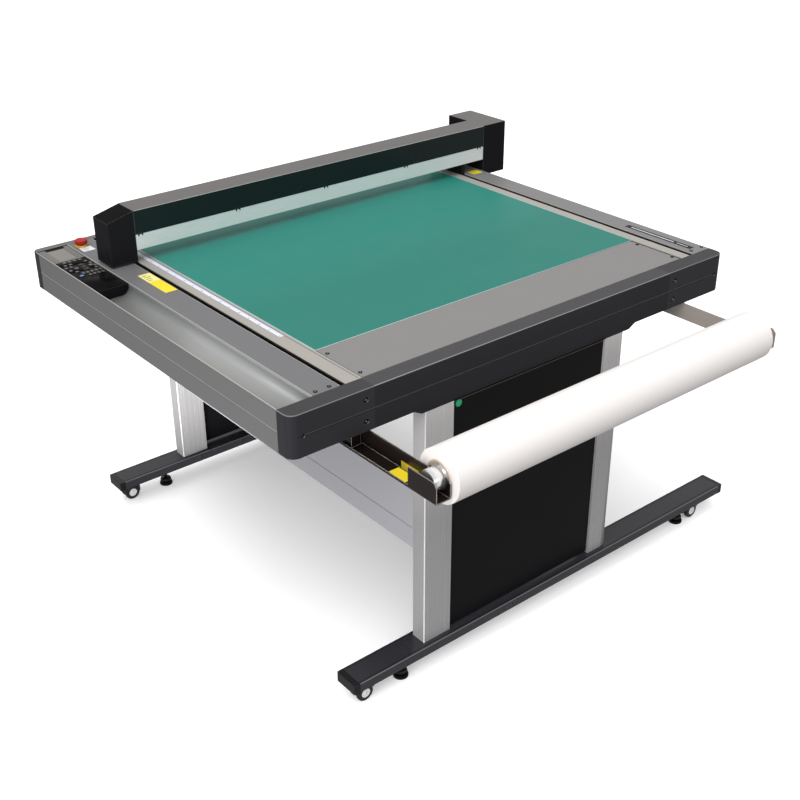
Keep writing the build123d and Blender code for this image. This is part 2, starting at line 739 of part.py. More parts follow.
panel_span = (post_left_x + post_w, post_right_x)
panel_z = (foot_z[1] + 6, -table_t - sub_rail_t)
with BuildPart() as leg_panels:
    front_face = front_post_y + leg_panel_inset
    rear_face = rear_post_y + post_d - leg_panel_inset
    slab(panel_span, (front_face, front_face + leg_panel_t), panel_z)
    slab(panel_span, (rear_face - leg_panel_t, rear_face), panel_z)
save(leg_panels, "leg_panels")

with BuildPart() as sub_rails:
    for y in (front_post_y, rear_post_y):
        profile_y(
            (
                (sub_rail_x[0], -table_t),
                (sub_rail_x[1], -table_t),
                (sub_rail_x[1] - sub_rail_taper, -table_t - sub_rail_t),
                (sub_rail_x[0] + sub_rail_taper, -table_t - sub_rail_t),
            ),
            (y, y + post_d),
        )
save(sub_rails, "sub_rails")

with BuildPart() as cross_beams:
    for x in (post_left_x + 1, post_right_x + post_w - 1 - cross_w):
        y = (front_post_y + post_d, rear_post_y)
        slab((x, x + cross_w), y, cross_z)
        slab((x + wall, x + cross_w - wall), y, (cross_z[0] + wall, cross_z[1] - wall), Mode.SUBTRACT)
        for face in (x, x + cross_w - 1.2):
            slab((face, face + 1.2), y, (cross_seam_z - 1, cross_seam_z + 1), Mode.SUBTRACT)
save(cross_beams, "cross_beams")

corners = {
    "front_left": (0, 0),
    "front_right": (1, 0),
    "rear_left": (0, 1),
    "rear_right": (1, 1),
}
floor_z = -TOP
axle_z = floor_z + wheel_lift + wheel_r
for corner, (side, depth) in corners.items():
    centre = foot_centres[depth]
    x = leveller_xs[side]
    with BuildPart() as leveller:
        rod_z(x, centre, pad_r, (floor_z, floor_z + 9))
        fillet(leveller.edges().group_by(Axis.Z)[-1], 3.0)
        rod_z(x, centre, 13.0, (floor_z + 9, floor_z + 18))
        rod_z(x, centre, stem_r, (floor_z + 18, foot_z[1] - wall - 4))
    save(leveller, "leveller_" + corner)

    x = castor_xs[side]
    axle_x = x - castor_trail
    with BuildPart() as castor_fork:
        slab((axle_x - 10, x + 10), (centre - 6, centre + 6), (axle_z - 12, foot_z[0] - 1.0))
        rod_y(axle_x, axle_z, 12.0, (centre - 6, centre + 6))
        rod_z(x, centre, 13.0, (foot_z[0] - 8, foot_z[0] - 1.0))
        rod_z(x, centre, stem_r, (foot_z[0] - 1.0, foot_z[0] + 20))
        with BuildSketch(Plane.XZ.offset(-(FRONT + centre + wheel_out))) as hood:
            with Locations((LEFT + axle_x, TOP + axle_z)):
                Circle(wheel_r + 4.5)
                Circle(wheel_r + 1.5, mode=Mode.SUBTRACT)
            with Locations((LEFT + axle_x, TOP + axle_z - 30 + 8)):
                Rectangle(90, 60, mode=Mode.SUBTRACT)
        extrude(amount=2 * wheel_out)
        rod_y(axle_x, axle_z, axle_r + running_gap, (centre - 6, centre + 6), Mode.SUBTRACT)
    save(castor_fork, "castor_fork_" + corner)

    with BuildPart() as castor_wheels:
        rod_y(axle_x, axle_z, wheel_r, (centre - wheel_out, centre - wheel_in))
        rod_y(axle_x, axle_z, wheel_r, (centre + wheel_in, centre + wheel_out))
        fillet(castor_wheels.edges().filter_by(GeomType.CIRCLE), 3.0)
        rod_y(axle_x, axle_z, hub_r, (centre - wheel_out - 0.6, centre - wheel_in))
        rod_y(axle_x, axle_z, hub_r, (centre + wheel_in, centre + wheel_out + 0.6))
        rod_y(axle_x, axle_z, axle_r, (centre - wheel_out, centre + wheel_out))
    save(castor_wheels, "castor_wheels_" + corner)

# ------------------------------------------------------------- roll feeder


def feeder_arm(x0, inner):
    """Open channel arm ending in a cradle; inner is the side that faces the roll."""
    x1 = x0 + arm_w
    inner_wall = (x1 - arm_t, x1) if inner == "right" else (x0, x0 + arm_t)
    outer_wall = (x0, x0 + arm_t) if inner == "right" else (x1 - arm_t, x1)
    nose = 12.0
    slab((x0, x1), arm_y, (arm_z[0], arm_z[0] + arm_t))
    profile_x(
        (
            (arm_y[0], arm_z[0]),
            (arm_y[0], arm_z[1] - nose),
            (arm_y[0] + nose, arm_z[1]),
            (arm_y[1], arm_z[1]),
            (arm_y[1], arm_z[0]),
        ),
        inner_wall,
    )
    profile_x(
        (
            (arm_y[0], arm_z[0]),
            (arm_y[0], cradle_top - nose),
            (arm_y[0] + nose, cradle_top),
            (cradle_y, cradle_top),
            (cradle_y, arm_z[0] + arm_lip),
            (arm_y[1], arm_z[0] + arm_lip),
            (arm_y[1], arm_z[0]),
        ),
        outer_wall,
    )
    rod_x(roll_y, roll_z, notch_r, inner_wall, Mode.SUBTRACT)
    slab(inner_wall, (roll_y - notch_r, roll_y + notch_r), (roll_z, arm_z[1] + 1), Mode.SUBTRACT)


with BuildPart() as feeder_arms:
    feeder_arm(arm_left_x, "right")
    feeder_arm(arm_right_x, "left")
    for x0 in (arm_left_x, arm_right_x):
        for y in ((40.0, 100.0), (260.0, 320.0)):
            slab((x0 + 8, x0 + arm_w - 8), y, (arm_z[0] + arm_t, -table_t))
save(feeder_arms, "feeder_arms")

# The film is wound on a card core that stands a little proud at each end.
with BuildPart() as media_roll:
    rod_x(roll_y, roll_z, roll_r, roll_x)
    fillet(media_roll.edges().filter_by(GeomType.CIRCLE), 1.5)
    rod_x(roll_y, roll_z, core_r[1], (roll_x[0] - 2, roll_x[1] + 2))
    rod_x(roll_y, roll_z, core_r[0], (roll_x[0] - 2, roll_x[1] + 2), Mode.SUBTRACT)
save(media_roll, "media_roll")

with BuildPart() as core_plugs:
    rod_x(roll_y, roll_z, core_r[0], (roll_x[0] - 1, roll_x[0] + 40))
    rod_x(roll_y, roll_z, journal_r, (arm_left_x + arm_t + 8, roll_x[0]))
    rod_x(roll_y, roll_z, core_r[0], (roll_x[1] - 40, roll_x[1] + 1))
    rod_x(roll_y, roll_z, journal_r, (roll_x[1], arm_right_x + arm_w - arm_t - 8))
save(core_plugs, "core_plugs")
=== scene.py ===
import math

import bmesh
import bpy
from mathutils import Matrix, Vector


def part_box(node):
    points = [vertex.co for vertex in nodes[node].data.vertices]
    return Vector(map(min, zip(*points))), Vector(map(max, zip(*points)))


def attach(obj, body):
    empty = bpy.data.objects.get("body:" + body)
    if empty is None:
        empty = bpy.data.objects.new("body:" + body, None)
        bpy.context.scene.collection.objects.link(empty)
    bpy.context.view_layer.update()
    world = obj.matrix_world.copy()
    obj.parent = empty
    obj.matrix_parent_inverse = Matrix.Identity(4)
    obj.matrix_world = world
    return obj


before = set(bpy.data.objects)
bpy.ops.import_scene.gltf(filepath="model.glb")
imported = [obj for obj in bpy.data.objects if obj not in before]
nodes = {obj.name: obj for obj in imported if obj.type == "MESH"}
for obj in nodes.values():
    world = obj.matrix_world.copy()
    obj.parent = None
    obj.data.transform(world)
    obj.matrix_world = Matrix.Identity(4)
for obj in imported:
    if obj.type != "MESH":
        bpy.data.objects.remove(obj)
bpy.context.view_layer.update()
ROOT = "table_and_stand"
CORNERS = ("front_left", "front_right", "rear_left", "rear_right")
MM = 0.001
TINY = 1e-6


# ------------------------------------------------------------------ helpers


def span(node):
    """Lowest and highest corner of a CAD node as vectors."""
    low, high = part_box(node)
    return Vector(low), Vector(high)


def linked(name, data):
    """New object in the scene."""
    obj = bpy.data.objects.new(name, data)
    bpy.context.scene.collection.objects.link(obj)
    return obj


def round_edges(obj, width, segments, angle):
    """Bevel on the edges that turn by more than an angle in degrees."""
    bevel = obj.modifiers.new("bevel", "BEVEL")
    bevel.width = width
    bevel.segments = segments
    bevel.limit_method = "ANGLE"
    bevel.angle_limit = math.radians(angle)
    bevel.harden_normals = True


def mesh_piece(name, bm, mat, body, bevel=0.0, smooth=True):
    """Turn a bmesh into an object that rides on a body, with an optional bevel."""
    bmesh.ops.recalc_face_normals(bm, faces=bm.faces)
    mesh = bpy.data.meshes.new(name)
    bm.to_mesh(mesh)
    bm.free()
    mesh.materials.append(mat)
    for face in mesh.polygons:
        face.use_smooth = smooth
    obj = linked(name, mesh)
    if bevel:
        round_edges(obj, bevel, 3, 35)
    if body:
        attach(obj, body)
    return obj


def add_box(bm, low, high):
    """Add a box between two corners to a bmesh."""
    verts = [
        bm.verts.new((x, y, z))
        for z in (low[2], high[2])
        for y in (low[1], high[1])
        for x in (low[0], high[0])
    ]
    for a, b, c, d in (
        (0, 1, 3, 2),
        (4, 5, 7, 6),
        (0, 1, 5, 4),
        (2, 3, 7, 6),
        (0, 2, 6, 4),
        (1, 3, 7, 5),
    ):
        bm.faces.new((verts[a], verts[b], verts[c], verts[d]))


def box_piece(name, low, high, mat, body, bevel):
    """A single bevelled plate or block."""
    bm = bmesh.new()
    add_box(bm, low, high)
    return mesh_piece(name, bm, mat, body, bevel)


def arc(centre, radius, start, sweep, steps):
    """Points along a circle, from a start angle through a sweep in degrees."""
    angles = [math.radians(start + sweep * k / steps) for k in range(steps + 1)]
    return [(centre[0] + radius * math.cos(a), centre[1] + radius * math.sin(a)) for a in angles]


def add_sides(bm, first, second):
    """Join two closed rings of vertices by a band of faces."""
    count = len(first)
    for k in range(count):
        j = (k + 1) % count
        bm.faces.new((first[k], first[j], second[j], second[k]))


def lathe(name, profile, centre, axis, mat, body, steps):
    """Turn a (distance along axis, radius) profile round an axis."""
    bm = bmesh.new()
    turn = {"x": Vector((1, 0, 0)), "y": Vector((0, 1, 0)), "z": Vector((0, 0, 1))}[axis]
    side = Vector((0, 0, 1)) if axis == "y" else Vector((0, 1, 0))
    up = turn.cross(side)
    rings = []
    for along, radius in profile:
        middle = centre + turn * along
        if radius < TINY:
            rings.append([bm.verts.new(middle)])
            continue
        angles = (2 * math.pi * k / steps for k in range(steps))
        spokes = [side * math.cos(a) + up * math.sin(a) for a in angles]
        rings.append([bm.verts.new(middle + spoke * radius) for spoke in spokes])
    for a, b in zip(rings, rings[1:]):
        for k in range(steps):
            quad = [a[k % len(a)], a[(k + 1) % len(a)], b[(k + 1) % len(b)], b[k % len(b)]]
            quad = list(dict.fromkeys(quad))
            if len(quad) > 2:
                bm.faces.new(quad)
    return mesh_piece(name, bm, mat, body)


# -------------------------------------------------------------- shader nodes


def component(tree, vector, axis):
    """One coordinate of a vector."""
    node = tree.nodes.new("ShaderNodeSeparateXYZ")
    tree.links.new(vector, node.inputs["Vector"])
    return node.outputs[axis]


def geometry(tree, output):
    """Output of a geometry node, such as the normal."""
    return tree.nodes.new("ShaderNodeNewGeometry").outputs[output]


def noise(tree, vector, scale, detail):
    """Noise texture along a vector."""
    node = tree.nodes.new("ShaderNodeTexNoise")
    node.inputs["Scale"].default_value = scale
    node.inputs["Detail"].default_value = detail
    tree.links.new(vector, node.inputs["Vector"])
    return node.outputs["Fac"]


def ranged(tree, value, source, target=(0.0, 1.0)):
    """Value carried from one range to another."""
    node = tree.nodes.new("ShaderNodeMapRange")
    for end, number in zip(("From Min", "From Max", "To Min", "To Max"), source + target):
        node.inputs[end].default_value = number
    tree.links.new(value, node.inputs["Value"])
    return node.outputs["Result"]


def mixed(tree, factor, first, second):
    """Colour between two others, each of them a socket or a plain colour."""
    node = tree.nodes.new("ShaderNodeMix")
    node.data_type = "RGBA"
    tree.links.new(factor, node.inputs["Factor"])
    for end, colour in (("A", first), ("B", second)):
        if isinstance(colour, tuple):
            node.inputs[end].default_value = (*colour, 1)
        else:
            tree.links.new(colour, node.inputs[end])
    return node.outputs["Result"]


def paint_top_shading(tree, base, painted_top_shading, painted_rim_shading):
    """Painted shading: one colour for the faces that look up and another for the rounds that lead
    to them, standing in for how the light falls on them.
    """
    upward = component(tree, geometry(tree, "Normal"), "Z")
    ramp = tree.nodes.new("ShaderNodeValToRGB")
    stops = ramp.color_ramp.elements
    stops[0].position = 0.15
    stops[0].color = (*painted_rim_shading, 1)
    stops[1].position = 0.97
    stops[1].color = (*painted_top_shading, 1)
    stops.new(0.80).color = (*painted_rim_shading, 1)
    tree.links.new(upward, ramp.inputs["Fac"])
    above = ranged(tree, upward, (0.08, 0.35))
    return mixed(tree, above, base, ramp.outputs["Color"])


def paint_corner_highlight(tree, base, corner):
    """Painted highlight: a bright colour on the upright rounds between two side faces."""
    normal = geometry(tree, "Normal")
    both = tree.nodes.new("ShaderNodeMath")
    both.operation = "MULTIPLY"
    tree.links.new(component(tree, normal, "X"), both.inputs[0])
    tree.links.new(component(tree, normal, "Y"), both.inputs[1])
    size = tree.nodes.new("ShaderNodeMath")
    size.operation = "ABSOLUTE"
    tree.links.new(both.outputs["Value"], size.inputs[0])
    corner_highlight_mask = ranged(tree, size.outputs["Value"], (0.40, 0.49))
    return mixed(tree, corner_highlight_mask, base, corner)


def paint_edge_highlight(tree, base, edge, width):
    """Painted highlight: a lighter colour on the sharp edges, where they catch the light."""
    rounded = tree.nodes.new("ShaderNodeBevel")
    rounded.samples = 4
    rounded.inputs["Radius"].default_value = width
    match = tree.nodes.new("ShaderNodeVectorMath")
    match.operation = "DOT_PRODUCT"
    tree.links.new(rounded.outputs["Normal"], match.inputs[0])
    tree.links.new(geometry(tree, "True Normal"), match.inputs[1])
    edge_highlight_mask = ranged(tree, match.outputs["Value"], (0.99, 0.85), (0.0, 0.9))
    return mixed(tree, edge_highlight_mask, base, edge)


def bumped(tree, height, strength):
    """Normal of a surface with a fine relief."""
    node = tree.nodes.new("ShaderNodeBump")
    node.inputs["Strength"].default_value = strength
    node.inputs["Distance"].default_value = 0.0005
    tree.links.new(height, node.inputs["Height"])
    return node.outputs["Normal"]


# ---------------------------------------------------------------- materials

ROUGH_SPREAD = 0.08
LEAST_ROUGH = 0.02
COAT_ROUGH = 0.1


def material(
    name,
    colour,
    rough=0.4,
    metal=0.0,
    coat=0.0,
    grain=0.15,
    grain_scale=900.0,
    bump=0.02,
    bump_scale=1200.0,
    stretch=(1, 1, 1),
    specular=0.5,
    edge=None,
    edge_width=0.0012,
    gradient=None,
    painted_top_shading=None,
    painted_rim_shading=None,
    corner=None,
):
    """Shader with colour grain, roughness clouds and a light bump.

    The edge colour is a painted highlight on sharp edges, the (colour, from, to, axis) tuple
    blends a second colour in along an axis, the top and rim colours are painted shading on the
    faces that look up and on the rounds that lead to them, and the corner colour is a painted
    highlight on the upright rounds between two side faces.
    """
    mat = bpy.data.materials.new(name)
    mat.use_nodes = True
    tree = mat.node_tree
    shader = tree.nodes["Principled BSDF"]
    shader.inputs["Metallic"].default_value = metal
    shader.inputs["Coat Weight"].default_value = coat
    shader.inputs["Coat Roughness"].default_value = COAT_ROUGH
    shader.inputs["Specular IOR Level"].default_value = specular
    whole = tree.nodes.new("ShaderNodeTexCoord").outputs["Object"]
    stretched = tree.nodes.new("ShaderNodeMapping")
    stretched.inputs["Scale"].default_value = stretch
    tree.links.new(whole, stretched.inputs["Vector"])
    place = stretched.outputs["Vector"]
    darker = tuple(c * (1 - grain) for c in colour)
    lighter = tuple(min(1, c * (1 + grain)) for c in colour)
    base = mixed(tree, noise(tree, place, grain_scale, 3), darker, lighter)
    if gradient:
        second, start, end, axis = gradient
        base = mixed(tree, ranged(tree, component(tree, whole, axis), (start, end)), base, second)
    if painted_top_shading:
        base = paint_top_shading(tree, base, painted_top_shading, painted_rim_shading or painted_top_shading)
    if corner:
        base = paint_corner_highlight(tree, base, corner)
    if edge:
        base = paint_edge_highlight(tree, base, edge, edge_width)
    tree.links.new(base, shader.inputs["Base Color"])
    spread = (max(LEAST_ROUGH, rough - ROUGH_SPREAD), min(1, rough + ROUGH_SPREAD))
    clouds = ranged(tree, noise(tree, place, 6, 6), (0.0, 1.0), spread)
    tree.links.new(clouds, shader.inputs["Roughness"])
    relief = bumped(tree, noise(tree, place, bump_scale, 2), bump)
    tree.links.new(relief, shader.inputs["Normal"])
    return mat


side_grey = material("side_grey", (0.130, 0.133, 0.131), rough=0.5, bump=0.06, specular=0.3)
# Painted light: lighter towards the tray's right wall, lifting the shade in the trough.
tray_grey = material(
    "tray_grey",
    (0.27, 0.265, 0.255),
    rough=0.36,
    metal=0.2,
    bump=0.05,
    stretch=(1, 0.05, 1),
    gradient=((0.34, 0.345, 0.345), -0.860, -0.805, "X"),
)
# Painted highlight, for bright strips laid along edges.
painted_edge_highlight = material("painted_edge_highlight", (0.50, 0.48, 0.44), rough=0.4, metal=0.3)
# Lighter towards the right along x.
rail_grey = material(
    "rail_grey",
    (0.145, 0.143, 0.148),
    rough=0.45,
    bump=0.06,
    specular=0.3,
    gradient=((0.185, 0.183, 0.185), -0.2, 0.4, "X"),
)
# Painted shading: lighter faces that look up, and a painted highlight on the rounds that lead to
# them.
dark_rail = material(
    "dark_rail",
    (0.018, 0.0175, 0.021),
    rough=0.40,
    bump=0.05,
    specular=0.15,
    painted_top_shading=(0.055, 0.053, 0.056),
    painted_rim_shading=(0.22, 0.22, 0.225),
)
# Painted shading: lighter faces that look up, and a painted highlight on the rounds that lead to
# them.
cap_black = material(
    "cap_black",
    (0.025, 0.025, 0.029),
    rough=0.42,
    bump=0.10,
    bump_scale=2500,
    specular=0.15,
    painted_top_shading=(0.041, 0.041, 0.043),
    painted_rim_shading=(0.16, 0.16, 0.165),
)
# Painted highlight on the sharp edges, and painted shade on the faces that look up, which are
# darker.
gantry_black = material(
    "gantry_black",
    (0.011, 0.011, 0.0125),
    rough=0.30,
    bump=0.06,
    bump_scale=2500,
    specular=0.02,
    edge=(0.09, 0.09, 0.095),
    edge_width=0.0022,
    painted_top_shading=(0.0025, 0.0025, 0.0025),
)
# Painted highlight on the sharp edges.
panel_black = material(
    "panel_black",
    (0.006, 0.006, 0.007),
    rough=0.28,
    bump=0.08,
    specular=0.12,
    edge=(0.08, 0.08, 0.08),
    edge_width=0.0012,
)
rear_grey = material("rear_grey", (0.125, 0.119, 0.116), rough=0.45, bump=0.06, specular=0.3)
panel_grey = material("panel_grey", (0.13, 0.128, 0.12), rough=0.45, bump=0.06)
beige = material("beige_strip", (0.33, 0.312, 0.285), rough=0.5, bump=0.04, specular=0.3)
# Painted light: lighter towards the rear, lifting the gantry's shadow on the mat.
mat_green = material(
    "mat_green",
    (0.012, 0.166, 0.131),
    rough=0.42,
    grain=0.08,
    grain_scale=1500,
    bump=0.10,
    bump_scale=1800,
    specular=0.3,
    gradient=((0.024, 0.224, 0.184), 0.0, 0.6, "Y"),
)
mat_edge = material("mat_edge", (0.42, 0.50, 0.50), rough=0.5)
plate_grey = material("plate_grey", (0.200, 0.190, 0.190), rough=0.45, bump=0.05, specular=0.4)
steel = material("steel", (0.55, 0.55, 0.56), rough=0.28, metal=1.0, bump=0.03)
dark_steel = material("dark_steel", (0.005, 0.005, 0.006), rough=0.4, bump=0.05, specular=0.15)
# Painted highlight on the sharp edges.
bar_gloss = material(
    "bar_gloss",
    (0.007, 0.012, 0.013),
    rough=0.25,
    bump=0.02,
    specular=0.25,
    edge=(0.12, 0.12, 0.12),
    edge_width=0.002,
)
bar_top = material("bar_top", (0.118, 0.111, 0.109), rough=0.45, bump=0.05, specular=0.3)
# Painted highlight on the upright rounds, and painted light: lighter towards the top of the
# posts.
alu = material(
    "aluminium",
    (0.42, 0.41, 0.415),
    rough=0.36,
    metal=0.35,
    grain=0.16,
    grain_scale=420,
    stretch=(1, 1, 0.004),
    bump=0.02,
    corner=(0.98, 0.98, 0.98),
    gradient=((0.66, 0.64, 0.64), 0.5, 0.85, "Z"),
)
# Painted highlight for the glint on the left posts' corners.
corner_highlight_alu = material("corner_highlight_aluminium", (0.80, 0.80, 0.81), rough=0.25, bump=0.02)
# Painted highlight along the top edge of the front leg panel.
brown_glint = material("brown_edge_glint", (0.075, 0.055, 0.045), rough=0.4, bump=0.02)
# Painted highlight above the joint on the table's front end.
joint_highlight = material("joint_highlight", (0.085, 0.085, 0.090), rough=0.4, bump=0.02)
bar_alu = material(
    "bar_aluminium", (0.66, 0.65, 0.655), rough=0.36, metal=0.35, stretch=(0.004, 1, 1), bump=0.02
)
strip_alu = material(
    "strip_aluminium", (0.68, 0.73, 0.72), rough=0.36, metal=0.2, stretch=(0.02, 1, 1), bump=0.04
)
leg_black = material(
    "leg_panel", (0.006, 0.006, 0.007), rough=0.42, bump=0.08, bump_scale=2000, specular=0.10
)
# Painted shading: darker faces that look up, and a painted highlight on the rounds that lead to
# them.
foot_black = material(
    "foot_gloss",
    (0.034, 0.034, 0.040),
    rough=0.28,
    coat=0.15,
    bump=0.03,
    specular=0.3,
    painted_top_shading=(0.026, 0.026, 0.031),
    painted_rim_shading=(0.15, 0.15, 0.16),
)
beam_grey = material("beam_grey", (0.40, 0.40, 0.43), rough=0.45, metal=0.1, bump=0.05)
gloss_black = material(
    "gloss_black", (0.007, 0.007, 0.008), rough=0.24, coat=0.15, bump=0.03, specular=0.3
)
film_black = material("film_black", (0.004, 0.004, 0.0045), rough=0.3, bump=0.02, specular=0.05)
# Painted highlight on the sharp edges, and a painted reflection: lighter towards the right, where
# the right arm mirrors the bright sky.
arm_brown = material(
    "arm_brown",
    (0.011, 0.0075, 0.007),
    rough=0.2,
    bump=0.03,
    specular=0.35,
    edge=(0.85, 0.80, 0.74),
    edge_width=0.0017,
    gradient=((0.36, 0.32, 0.29), -0.2, 0.4, "X"),
)
film_white = material("film_white", (0.80, 0.765, 0.75), rough=0.5, grain=0.01, bump=0.02)
card = material("core_card", (0.45, 0.33, 0.22), rough=0.8, bump=0.3, bump_scale=600)
plug_silver = material("plug_silver", (0.86, 0.86, 0.87), rough=0.22, metal=0.9, bump=0.02)
red = material("estop_red", (0.36, 0.022, 0.018), rough=0.4, specular=0.12)
yellow = material("estop_yellow", (0.62, 0.40, 0.05), rough=0.45, specular=0.3)
label_yellow = material("label_yellow", (0.78, 0.62, 0.02), rough=0.45, bump=0.01)
# Painted shade: a darker copy of the label yellow, for the label's part on the arm's wall.
label_yellow_shaded = material("label_yellow_shaded", (0.40, 0.29, 0.02), rough=0.45, bump=0.01)
label_pale = material("label_pale", (0.80, 0.74, 0.28), rough=0.45, bump=0.01)
label_white = material("label_white", (0.66, 0.66, 0.68), rough=0.5, bump=0.01)
label_ink = material("label_ink", (0.08, 0.07, 0.03), rough=0.5, bump=0.01)
tick_blue = material("tick_blue", (0.20, 0.20, 0.42), rough=0.5, bump=0.01)
ruler_white = material("ruler_white", (0.66, 0.68, 0.80), rough=0.45, bump=0.01)
key_black = material("key_black", (0.010, 0.010, 0.011), rough=0.28, bump=0.05)
key_grey = material("key_grey", (0.085, 0.083, 0.078), rough=0.3, bump=0.05, specular=0.3)
key_blue = material("key_blue", (0.12, 0.20, 0.50), rough=0.3, bump=0.02)
lcd_glass = material("lcd_glass", (0.188, 0.177, 0.158), rough=0.3, bump=0.0, specular=0.3)
fork_black = material("fork_black", (0.010, 0.010, 0.010), rough=0.35, bump=0.1)
tyre_black = material("tyre_black", (0.015, 0.015, 0.015), rough=0.5, bump=0.15)
hub_grey = material("hub_grey", (0.80, 0.80, 0.80), rough=0.4, bump=0.04)
green_dot = material("marker_green", (0.010, 0.50, 0.20), rough=0.4, bump=0.01)
belt_black = material("belt_black", (0.015, 0.015, 0.015), rough=0.7, bump=0.3)
inner_dark = material("inner_dark", (0.004, 0.004, 0.004), rough=0.6, specular=0.1)
bed_alu = material("bed_aluminium", (0.4, 0.4, 0.4), rough=0.4, metal=1.0)

paint = {
    "side_covers": side_grey,
    "rail_covers": rail_grey,
    "end_rails": dark_rail,
    "corner_caps": cap_black,
    "table_screws": dark_steel,
    "bed_plate": bed_alu,
    "edge_strips": beige,
    "cutting_mat": mat_green,
    "front_plate": plate_grey,
    "bottom_pan": dark_rail,
    "panel_housing": panel_black,
    "lcd_window": lcd_glass,
    "estop_base": yellow,
    "estop_button": red,
    "key_up": key_black,
    "key_down": key_black,
    "key_enter": key_black,
    "power_entry": panel_black,
    "power_rocker": panel_black,
    "y_guides": steel,
    "y_belts": belt_black,
    "shaft_bearings": steel,
    "sync_shaft": steel,
    "idler_shaft": steel,
    "y_motor": inner_dark,
    "foot_beams": foot_black,
    "foot_end_caps": gloss_black,
    "posts": alu,
    "leg_panels": leg_black,
    "sub_rails": dark_rail,
    "cross_beams": beam_grey,
    "feeder_arms": arm_brown,
    "media_roll": film_white,
    "core_plugs": plug_silver,
    "gantry_beam": bar_alu,
    "gantry_front_cover": bar_gloss,
    "gantry_top_cover": bar_top,
    "wiper_strip": strip_alu,
    "gantry_end_caps": gantry_black,
    "gantry_legs": gantry_black,
    "guide_blocks": steel,
    "x_guide": steel,
    "x_belt": belt_black,
    "x_pulley_motor": steel,
    "x_pulley_idler": steel,
    "carriage_block": cap_black,
    "tool_holder_a": plug_silver,
    "tool_holder_b": plug_silver,
}
for corner in CORNERS:
    paint["leveller_" + corner] = dark_steel
    paint["castor_fork_" + corner] = fork_black
    paint["castor_wheels_" + corner] = tyre_black

for name, mat in paint.items():
    for slot in nodes[name].material_slots:
        slot.material = mat

# Machined and folded edges catch the light, so the boxy nodes get a small round.
edge_round = {
    "side_covers": 0.0010,
    "rail_covers": 0.0006,
    "end_rails": 0.0010,
    "edge_strips": 0.0005,
    "cutting_mat": 0.0005,
    "gantry_legs": 0.0008,
    "leg_panels": 0.0010,
    "sub_rails": 0.0010,
    "cross_beams": 0.0012,
    "feeder_arms": 0.0006,
    "wiper_strip": 0.0004,
    "panel_housing": 0.0006,
    "posts": 0.0003,
    "foot_end_caps": 0.0025,
}
for name, width in edge_round.items():
    weld = nodes[name].modifiers.new("weld", "WELD")
    weld.merge_threshold = 0.02 * MM
    round_edges(nodes[name], width, 2, 40)

# ------------------------------------------------------------ table details

cover_low, cover_high = span("side_covers")
left = cover_low.x
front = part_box("end_rails")[0][1]
top = cover_high.z


def at(x, y, z=0.0):
    """Point measured in millimetres from the table's left, front and top."""
    return Vector((left + x * MM, front + y * MM, top + z * MM))


def ranges(node):
    """A CAD node's extent along x, y and z, in table millimetres."""
    origin = at(0, 0)
    ends = span(node)
    return [tuple(round((end[i] - origin[i]) / MM, 2) for end in ends) for i in range(3)]


def plate(name, x, y, z, mat, bevel=0.0002):
    """Thin flat piece given by its two ends along each axis, in table millimetres."""
    return box_piece(name, at(x[0], y[0], z[0]), at(x[1], y[1], z[1]), mat, ROOT, bevel)


cover_x, cover_y, cover_z = ranges("side_covers")
rail_x = ranges("rail_covers")[0]
table_y = ranges("end_rails")[1]
mat_x, mat_y, _ = ranges("cutting_mat")
panel_x, panel_y, _ = ranges("panel_housing")
rim_y = (cover_y[0] + 1, cover_y[1] - 1)
lining_y = (cover_y[0] + 2, panel_y[0] - 1)

# Pale cut edge round the mat, partly on it and partly beside it.
cut_out = 1.4
cut_in = 0.6
cut_z = (-1, 0.62)
near_x = (mat_x[0] - cut_out, mat_x[0] + cut_in)
far_x = (mat_x[1] - cut_in, mat_x[1] + cut_out)
near_y = (mat_y[0] - cut_out, mat_y[0] + cut_in)
far_y = (mat_y[1] - cut_in, mat_y[1] + cut_out)
round_x = (near_x[0], far_x[1])
bm = bmesh.new()
for x, y in ((near_x, mat_y), (far_x, mat_y), (round_x, near_y), (round_x, far_y)):
    add_box(bm, at(x[0], y[0], cut_z[0]), at(x[1], y[1], cut_z[1]))
mesh_piece("mat_cut_edge", bm, mat_edge, ROOT)

# Ruler with a division each centimetre, a block beside each fifth one, and no numerals.
ruler_x = (235.2, 249.8)
ruler_y = (380.2, mat_y[1] - 0.2)
tick_z = (0.8, 0.95)
tick_count = 97
tick_step = 10
tick_wide = 1.1
tick_right = ruler_x[1] - 0.2
first_tick = 383
long_tick, middle_tick, short_tick = 11, 8, 5
block_x = (236.5, 241.5)
block_y = (2.5, 6)
plate("ruler_face", ruler_x, ruler_y, (0.5, 0.85), ruler_white)
bm = bmesh.new()
for k in range(tick_count):
    y = first_tick + tick_step * k
    length = long_tick if k % 10 == 0 else middle_tick if k % 5 == 0 else short_tick
    add_box(bm, at(tick_right - length, y, tick_z[0]), at(tick_right, y + tick_wide, tick_z[1]))
    if k % 5 == 0:
        low = at(block_x[0], y + block_y[0], tick_z[0])
        high = at(block_x[1], y + block_y[1], tick_z[1])
        add_box(bm, low, high)
mesh_piece("ruler_ticks", bm, tick_blue, ROOT)

# Fine groove between the ruler and the mat.
groove_x = (251, 254)
groove_y = (cover_y[0] + 6, cover_y[1] - 5)
plate("ruler_groove", groove_x, groove_y, (-0.2, 0.2), panel_grey)

